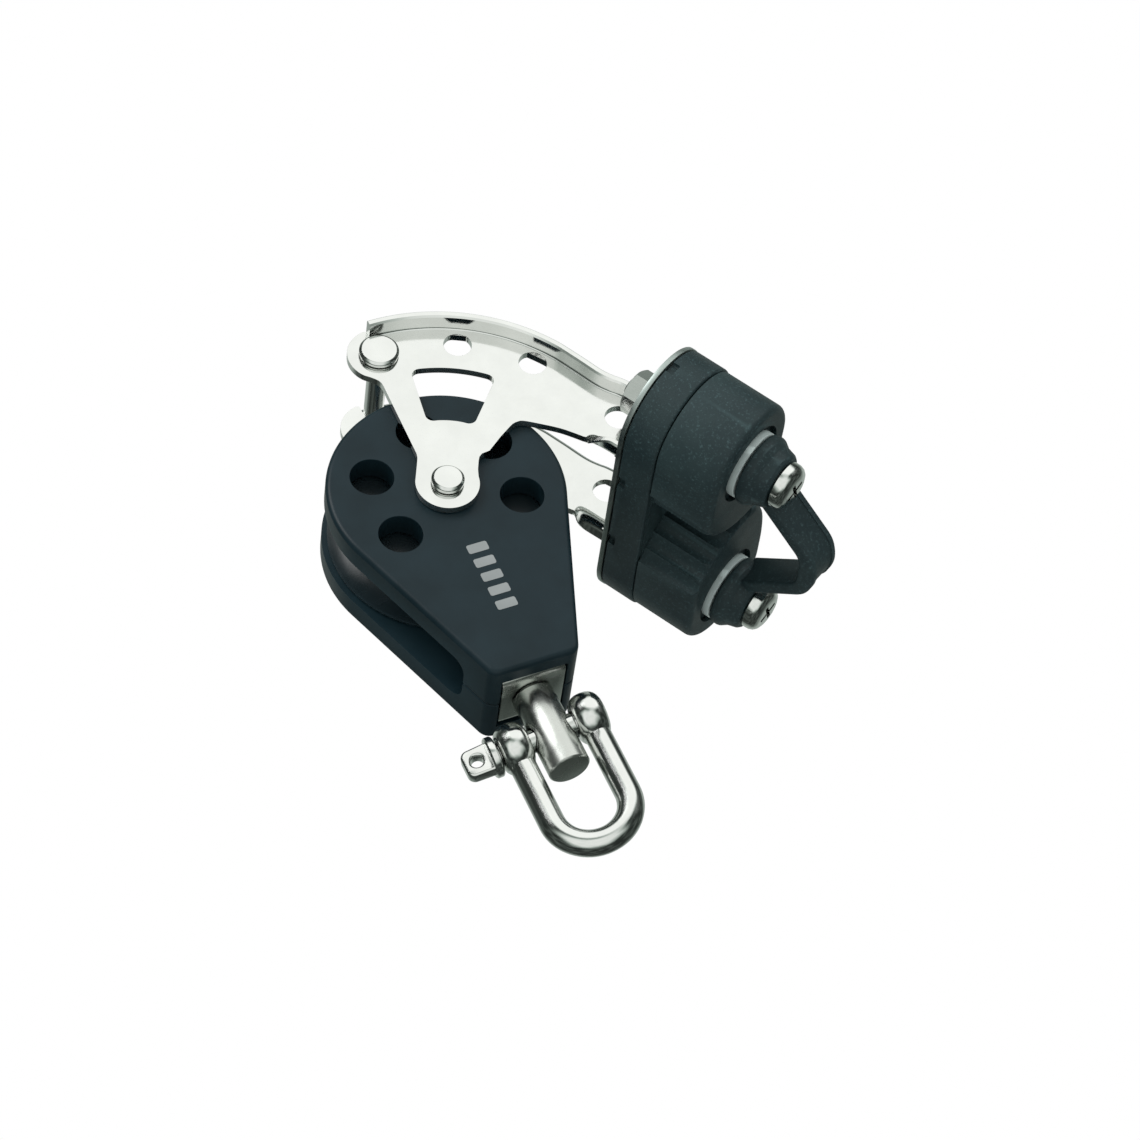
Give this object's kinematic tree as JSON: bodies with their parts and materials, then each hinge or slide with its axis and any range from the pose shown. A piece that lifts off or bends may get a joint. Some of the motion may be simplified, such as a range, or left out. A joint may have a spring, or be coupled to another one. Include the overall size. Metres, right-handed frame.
{
  "type": "swivel block with becket and cam cleat",
  "caption": "Sailing block with a grooved sheave between moulded cheeks, a swivel shackle, and pressed arms that carry a becket pin and a sprung cam cleat with a fairlead.",
  "frame": {"origin": "centre of the sheave, on its axle", "axes": "+Z from the shackle up through the sheave, +X towards the cam cleat, +Y along the axle to the rear cheek"},
  "size_m": [0.0891, 0.0628, 0.1164],
  "materials": {
    "cheek": "satin black moulded nylon",
    "sheave": "smooth dark grey acetal",
    "bearing": "natural acetal",
    "cleat": "finely textured black moulding",
    "collar": "light grey moulding",
    "mount_plate": "dull grey plate",
    "polished_steel": "mirror-polished stainless steel",
    "satin_steel": "turned and rolled stainless steel",
    "spring_wire": "drawn spring wire"
  },
  "bodies": {
    "block": {"front_cheek": "cheek", "rear_cheek": "cheek", "strap": "satin_steel", "sheave_bush": "bearing", "axle_rivet": "polished_steel", "thrust_washer": "bearing", "front_arm": "polished_steel", "rear_arm": "polished_steel", "becket_pin": "polished_steel", "cleat_plate": "mount_plate", "cleat_base": "cleat", "front_cam_bush": "collar", "rear_cam_bush": "collar", "front_cam_spring": "spring_wire", "rear_cam_spring": "spring_wire", "fairlead": "cleat", "front_screw": "polished_steel", "rear_screw": "polished_steel", "front_nut": "polished_steel", "rear_nut": "polished_steel"},
    "sheave": {"sheave": "sheave"},
    "post": {"swivel_post": "satin_steel"},
    "shackle": {"shackle_bow": "polished_steel", "shackle_pin": "polished_steel"},
    "front_cam_body": {"front_cam": "cleat"},
    "rear_cam_body": {"rear_cam": "cleat"}
  },
  "joints": [
    {"name": "sheave_spin", "type": "hinge", "parent": "block", "child": "sheave", "pos_m": [0, 0, 0], "axis": [0, 1, 0], "continuous": true},
    {"name": "post_swivel", "type": "hinge", "parent": "block", "child": "post", "pos_m": [0, 0, -0.042], "axis": [0, 0, 1], "continuous": true},
    {"name": "shackle_swing", "type": "hinge", "parent": "post", "child": "shackle", "pos_m": [0, 0, -0.051], "axis": [0.9848, -0.1736, 0], "range_deg": [-105, 105]},
    {"name": "front_cam_pivot", "type": "hinge", "parent": "block", "child": "front_cam_body", "pos_m": [0.04883, -0.019, -0.01391], "axis": [0.4985, 0, -0.8669], "range_deg": [0, 40], "stiffness_Nm_per_rad": 0.03, "springref_deg": -28.65},
    {"name": "rear_cam_pivot", "type": "hinge", "parent": "block", "child": "rear_cam_body", "pos_m": [0.04883, 0.019, -0.01391], "axis": [0.4985, 0, -0.8669], "range_deg": [-40, 0], "stiffness_Nm_per_rad": 0.03, "springref_deg": 28.65}
  ]
}
